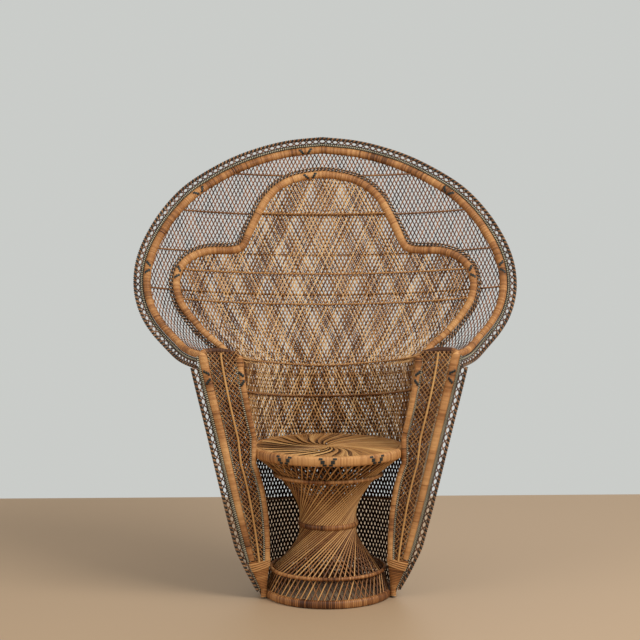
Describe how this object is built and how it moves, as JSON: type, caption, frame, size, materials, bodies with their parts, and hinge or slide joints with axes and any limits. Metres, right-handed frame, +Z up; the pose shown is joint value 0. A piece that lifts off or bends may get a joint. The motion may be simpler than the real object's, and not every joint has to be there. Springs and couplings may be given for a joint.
{
  "type": "peacock chair",
  "caption": "Woven rattan chair: an hourglass pedestal with a round seat inside a double-walled woven shell that forms arms and a wide fan-shaped back.",
  "frame": {"origin": "on the floor, under the middle of the whole chair's bounding box", "axes": "+Z up, -Y is the front that the sitter faces, +X is the right-hand side seen from the front"},
  "size_m": [1.1982, 0.7112, 1.4044],
  "materials": {
    "wrapped_ring": "flat cane wound tightly, satin varnish",
    "wrapped_pole": "flat cane wound tightly, satin varnish",
    "net_cane": "woven cane strands, dark varnish",
    "pale_cane": "peeled cane, satin",
    "lace_cane": "dark dyed cane strands",
    "bare_pole": "round rattan, varnished"
  },
  "bodies": {
    "root": {"base_ring": "wrapped_ring", "waist_ring": "wrapped_ring", "seat_ring": "wrapped_ring", "lower_tie_ring": "wrapped_ring", "upper_tie_ring": "wrapped_ring", "pedestal_strands_lower": "net_cane", "pedestal_strands_upper": "net_cane", "seat_deck": "pale_cane", "seat_bar_front": "bare_pole", "seat_bar_rear": "bare_pole", "fan_rim": "wrapped_pole", "clover_frame": "wrapped_pole", "outer_rail_right": "wrapped_pole", "inner_rail_right": "wrapped_pole", "outer_rail_left": "wrapped_pole", "inner_rail_left": "wrapped_pole", "foot_wrap_right": "wrapped_pole", "foot_wrap_left": "wrapped_pole", "outer_net": "net_cane", "inner_net": "net_cane", "outer_hoop_1": "bare_pole", "outer_hoop_2": "bare_pole", "outer_hoop_3": "bare_pole", "outer_hoop_4": "bare_pole", "outer_hoop_5": "bare_pole", "outer_hoop_6": "bare_pole", "inner_hoop_1": "bare_pole", "inner_hoop_2": "bare_pole", "inner_hoop_3": "bare_pole", "inner_hoop_4": "bare_pole", "inner_hoop_5": "bare_pole", "shell_foot_hoop": "bare_pole", "seat_back_hoop": "bare_pole", "arm_panel_right": "net_cane", "arm_spine_right": "pale_cane", "arm_panel_left": "net_cane", "arm_spine_left": "pale_cane", "fan_lace": "lace_cane", "clover_lace": "lace_cane", "arm_lace_right": "lace_cane", "arm_lace_left": "lace_cane"}
  },
  "joints": []
}
